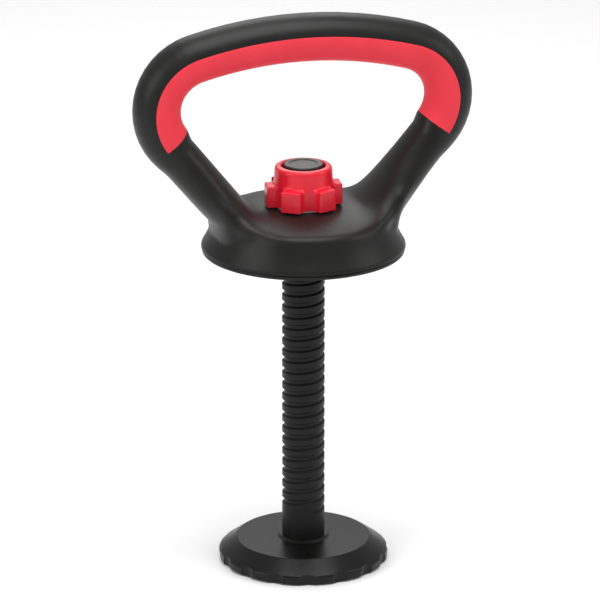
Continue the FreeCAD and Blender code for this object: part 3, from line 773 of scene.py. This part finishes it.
def mirrored(piece: bpy.types.Object) -> bpy.types.Object:
    """Turn a piece of the right half into the left one.

    Args:
        piece: The piece, which is changed.

    Returns:
        The same object.
    """
    take(piece)
    bpy.ops.object.mode_set(mode="EDIT")
    bpy.ops.mesh.select_all(action="SELECT")
    bpy.ops.transform.mirror(constraint_axis=(True, False, False), center_override=(0, 0, 0))
    bpy.ops.mesh.normals_make_consistent(inside=False)
    bpy.ops.object.mode_set(mode="OBJECT")
    return piece


def tube(name: str, cuts: list[Section], points: int, closed: bool = True) -> bpy.types.Object:
    """Tube through a row of elliptical sections.

    Args:
        name: The piece's name.
        cuts: The sections in order.
        points: Vertices round each section.
        closed: Whether the last section is joined to the first, or the ends are filled.

    Returns:
        The tube.
    """
    clear_selection()
    rings = [ring(cut, points) for cut in cuts]
    for piece in rings:
        piece.select_set(True)
    bpy.context.view_layer.objects.active = rings[0]
    bpy.ops.object.join()
    piece = name_new(name)
    bpy.ops.object.mode_set(mode="EDIT")
    bpy.ops.mesh.select_mode(type="EDGE")
    bpy.ops.mesh.select_all(action="SELECT")
    bpy.ops.mesh.bridge_edge_loops(type="CLOSED" if closed else "SINGLE")
    if not closed:
        bpy.ops.mesh.select_all(action="SELECT")
        bpy.ops.mesh.fill_holes(sides=0)
    bpy.ops.mesh.select_all(action="SELECT")
    bpy.ops.mesh.normals_make_consistent(inside=False)
    bpy.ops.object.mode_set(mode="OBJECT")
    return piece


def ring(cut: Section, points: int) -> bpy.types.Object:
    """Add one elliptical section.

    Args:
        cut: The section's place and size.
        points: Its vertices.

    Returns:
        The ring of edges.
    """
    bpy.ops.mesh.primitive_circle_add(
        vertices=points, radius=1.0, location=(cut.x, 0.0, cut.z),
        rotation=(0.0, math.radians(cut.turn - 90.0), 0.0))
    made = bpy.context.object
    made.scale = (cut.half_height, cut.half_depth, 1.0)
    bpy.ops.object.transform_apply(location=True, rotation=True, scale=True)
    return made


@dataclass
class Grip:
    """Soft red half-sleeve on the inner side of the bow. Lengths in metres, angles in degrees."""

    bow: Bow
    seam_gap: float = 0.25 * MM
    corner: float = 0.5 * MM

    def build(self) -> bpy.types.Object:
        """The finished grip, riding with the handle.

        Returns:
            The grip.
        """
        grip = swept_half("soft_grip_sleeve", self.bow, self.bow.grip_end,
                          self.bow.seam_offset - self.seam_gap, 0.0, self.corner)
        close_up(grip)
        dress(grip, SOFT_RED, "handle", "soft_red", "soft_grip")
        return grip


def swept_half(name: str, bow: Bow, end: float, chord: float, grow: float, corner: float) -> bpy.types.Object:
    """The inner part of the bow's section, swept along its corners and crown.

    Args:
        name: The piece's name.
        bow: The bow that is followed.
        end: Degrees of the end cuts from upright.
        chord: How far outside the centreline the section is cut flat.
        grow: How much larger than the bow the section is.
        corner: Radius of the section's two corners, or 0.

    Returns:
        The closed sweep.
    """
    cut = bow.section(end)
    clear_selection()
    bpy.ops.mesh.primitive_circle_add(vertices=ROUND_POINTS, radius=1.0, fill_type="NGON", location=(0, 0, 0))
    piece = name_new(name)
    bpy.ops.object.mode_set(mode="EDIT")
    bpy.ops.mesh.select_all(action="SELECT")
    bpy.ops.transform.resize(value=(cut.half_height + grow, cut.half_depth + grow, 1.0))
    bpy.ops.mesh.bisect(plane_co=(chord, 0, 0), plane_no=(1, 0, 0), clear_outer=True, clear_inner=False)
    if corner:
        pick_vertices(piece, lambda spot: abs(spot.x - chord) < SAME_SPOT)
        bpy.ops.mesh.bevel(offset=corner, segments=4, affect="VERTICES")
    bpy.ops.object.mode_set(mode="OBJECT")
    piece.rotation_euler = (0.0, math.radians(cut.turn - 90.0), 0.0)
    piece.location = (cut.x, 0.0, cut.z)
    take(piece)
    bpy.ops.object.transform_apply(location=True, rotation=True, scale=True)
    bpy.ops.object.mode_set(mode="EDIT")
    bpy.ops.mesh.select_all(action="SELECT")
    for middle, sweep, steps in (((bow.corner_x, 0, bow.corner_z), end - bow.join, SPIN_CORNER),
                                 ((0, 0, bow.crown_z), 2 * bow.join, SPIN_CROWN),
                                 ((-bow.corner_x, 0, bow.corner_z), end - bow.join, SPIN_CORNER)):
        bpy.ops.mesh.spin(steps=steps, angle=math.radians(sweep), center=middle, axis=(0, 1, 0))
    bpy.ops.mesh.select_all(action="SELECT")
    bpy.ops.mesh.normals_make_consistent(inside=False)
    bpy.ops.object.mode_set(mode="OBJECT")
    return piece


def dress(piece: bpy.types.Object, finish: Finish, body: str, slot: str, *stands_for: str) -> None:
    """Give a new piece its finish and its body, and hide the CAD nodes it stands for.

    Args:
        piece: The new piece.
        finish: Its surface.
        body: The CAD body it rides on.
        slot: Not used.
        stands_for: CAD nodes that it replaces.
    """
    piece.data.materials.clear()
    piece.data.materials.append(finish.material())
    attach(piece, body)
    if stands_for:
        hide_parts(*stands_for)


@dataclass
class StarKnob:
    """Round barrel over six flat-ended lobes with hollows between them. Lengths in metres."""

    lobes: int = 6
    turned_by: float = -4.0
    face: float = 24.7 * MM
    lobe_height: float = 13.7 * MM
    valley: float = 19.2 * MM
    barrel: float = 19.3 * MM
    barrel_top: float = 18.8 * MM
    hollow: float = 6.4 * MM
    voxel: float = 0.5 * MM
    mouth: float = 14.35 * MM
    rim: float = 2.0 * MM
    edge: float = 0.6 * MM
    hollow_points: int = 48
    passes: int = 44

    def lobed_disc(self, low: float) -> bpy.types.Object:
        """The six lobes, cut out of a six-sided block.

        Args:
            low: Height of the knob's underside.

        Returns:
            The disc.
        """
        half_step = math.pi / self.lobes
        clear_selection()
        bpy.ops.mesh.primitive_cylinder_add(
            vertices=self.lobes, radius=self.face / math.cos(half_step), depth=2 * self.lobe_height,
            location=(0, 0, low), rotation=(0, 0, math.radians(self.turned_by)))
        disc = name_new("knob_lobes")
        bpy.ops.object.transform_apply(location=True, rotation=True, scale=True)
        spread = self.valley + self.hollow
        for index in range(self.lobes):
            angle = math.radians(self.turned_by) + math.pi / 2 + 2 * half_step * index
            clear_selection()
            bpy.ops.mesh.primitive_cylinder_add(
                vertices=self.hollow_points, radius=self.hollow, depth=4 * self.lobe_height,
                location=(spread * math.cos(angle), spread * math.sin(angle), low))
            cut_with(disc, name_new("knob_hollow"), Cut.AWAY)
        return disc

    def build(self) -> bpy.types.Object:
        """The finished knob, riding with its own body.

        Returns:
            The knob.
        """
        low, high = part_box("star_knob")
        disc = self.lobed_disc(low.z)
        rim, cut = self.rim, self.rim * (1 - math.sqrt(0.5))
        outline = [(0.0, low.z + MM), (self.barrel, low.z + MM), (self.barrel, low.z + self.lobe_height),
                   (self.barrel_top, high.z - rim)]
        outline += arc_through((self.barrel_top, high.z - rim), (self.barrel_top - cut, high.z - cut),
                               (self.barrel_top - rim, high.z), 6)
        outline.append((0.0, high.z))
        cut_with(disc, turned("knob_barrel", outline, ROUND_POINTS), Cut.JOIN)
        take(disc)
        disc.data.remesh_voxel_size = self.voxel
        bpy.ops.object.voxel_remesh()
        use_modifier(disc, "SMOOTH", iterations=self.passes, factor=0.5)
        below, past, wide = low.z - 2 * self.lobe_height, 2 * self.face, self.mouth + self.edge
        bore = [(0.0, below), (past, below), (past, low.z), (self.mouth, low.z),
                (self.mouth, high.z - self.edge), (wide, high.z + SAME_SPOT), (wide, high.z + rim),
                (0.0, high.z + rim)]
        cut_with(disc, turned("knob_bore", bore, ROUND_POINTS), Cut.AWAY)
        disc.name = disc.data.name = "star_knob_moulding"
        close_up(disc, CREASE_ANGLE)
        dress(disc, KNOB_RED, "knob", "knob_red", "star_knob")
        return disc


# ---------------------------------------------------------------------------------------------------
# CAD nodes that stay, and the studio
# ---------------------------------------------------------------------------------------------------
NODE_FINISHES = {
    "threaded_post": POST_BLACK, "foot": FOOT_BLACK, "foot_pad": PAD_RUBBER, "post_cap": CAP_BLACK,
    "clamp_ring": SATIN_BLACK, "clamp_pad": PAD_RUBBER, "clamp_retainer": SATIN_BLACK,
    "handle_body": SATIN_BLACK, "soft_grip": SOFT_RED,
    "grip_carrier": SATIN_BLACK, "thread_bush": BUSH_GREY, "glide_ring": GLIDE_WHITE,
    "knob_washer": GLIDE_WHITE, "star_knob": KNOB_RED, "tie_bolt": ZINC_STEEL, "tie_nut": ZINC_STEEL,
    "foot_washer": ZINC_STEEL, "post_washer": ZINC_STEEL, "bush_screws": ZINC_STEEL,
    "retainer_screws": ZINC_STEEL,
}


def dress_cad_nodes() -> None:
    """Give every CAD node its finish."""
    for name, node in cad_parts.items():
        node.data.materials.clear()
        node.data.materials.append(NODE_FINISHES[name].material())


# Name, azimuth and elevation in degrees, distance and size in metres, power in watts.
LAMPS = (("top_box", 0.0, 80.0, 1.6, 1.4, 20.0), ("left_box", -75.0, 25.0, 1.8, 1.0, 7.0),
         ("right_box", 70.0, 30.0, 1.8, 0.9, 4.5), ("back_box", 170.0, 40.0, 1.9, 1.3, 8.0))


@dataclass
class Studio:
    """Pale floor, soft lights and the camera. Lengths in metres, angles in degrees."""

    distance: float = 2.755
    azimuth: float = -14.3
    height: float = 1.0953
    look_down: float = 18.41
    aside: float = 0.0022
    lens: float = 267.6
    floor_size: float = 12.0
    sensor: float = 36.0
    sky_strength: float = 0.50
    paper: float = 0.97

    def build(self) -> None:
        """Set up the floor, the lights and the camera."""
        self.floor()
        self.sky()
        self.lamps()
        self.camera()

    def floor(self) -> None:
        """A plain pale floor under the foot."""
        clear_selection()
        bpy.ops.mesh.primitive_plane_add(size=self.floor_size, location=(0, 0, CAD_BOX[0].z))
        floor = name_new("studio_floor")
        paper = bpy.data.materials.new("studio_paper")
        paper.use_nodes = True
        shader = paper.node_tree.nodes["Principled BSDF"]
        shader.inputs["Base Color"].default_value = opaque((self.paper, self.paper, self.paper))
        shader.inputs["Roughness"].default_value = 0.9
        floor.data.materials.append(paper)

    def sky(self) -> None:
        """Even white light from all round."""
        world = bpy.data.worlds.new("studio")
        bpy.context.scene.world = world
        world.use_nodes = True
        world.node_tree.nodes["Background"].inputs["Color"].default_value = opaque((1.0, 1.0, 1.0))
        world.node_tree.nodes["Background"].inputs["Strength"].default_value = self.sky_strength

    def lamps(self) -> None:
        """Large soft boxes: above, to the left, to the right and behind."""
        middle = Vector((0.0, 0.0, 0.2))
        for name, azimuth, elevation, reach, size, power in LAMPS:
            turn, rise = math.radians(azimuth), math.radians(elevation)
            away = Vector((math.sin(turn) * math.cos(rise), -math.cos(turn) * math.cos(rise), math.sin(rise)))
            light = bpy.data.lights.new(name, "AREA")
            light.shape, light.size, light.energy = "DISK", size, power
            lamp = bpy.data.objects.new(name, light)
            lamp.location = middle + away * reach
            lamp.rotation_euler = (-away).to_track_quat("-Z", "Y").to_euler()
            bpy.context.scene.collection.objects.link(lamp)

    def camera(self) -> None:
        """A long lens from the front left, looking down."""
        turn = math.radians(self.azimuth)
        right = Vector((math.cos(turn), math.sin(turn), 0.0))
        spot = Vector((math.sin(turn), -math.cos(turn), 0.0)) * self.distance - right * self.aside
        lens = bpy.data.cameras.new("camera")
        lens.lens, lens.sensor_width = self.lens, self.sensor
        lens.clip_end = 50.0
        camera = bpy.data.objects.new("camera", lens)
        camera.location = (spot.x, spot.y, self.height)
        camera.rotation_euler = (math.radians(90.0 - self.look_down), 0.0, turn)
        bpy.context.scene.collection.objects.link(camera)
        bpy.context.scene.camera = camera


def main() -> None:
    """Build the looks in order and report each piece."""
    logging.basicConfig(level=logging.INFO, format="%(name)s: %(message)s")
    bpy.context.scene.view_settings.view_transform = "Standard"
    build_grain()
    build_edge_wear()
    dress_cad_nodes()
    bow = Bow()
    for piece in (Handle(bow).build(), Grip(bow).build(), StarKnob().build()):
        log.info("%s: %d faces", piece.name, len(piece.data.polygons))
    Studio().build()


if __name__ == "__main__":
    main()
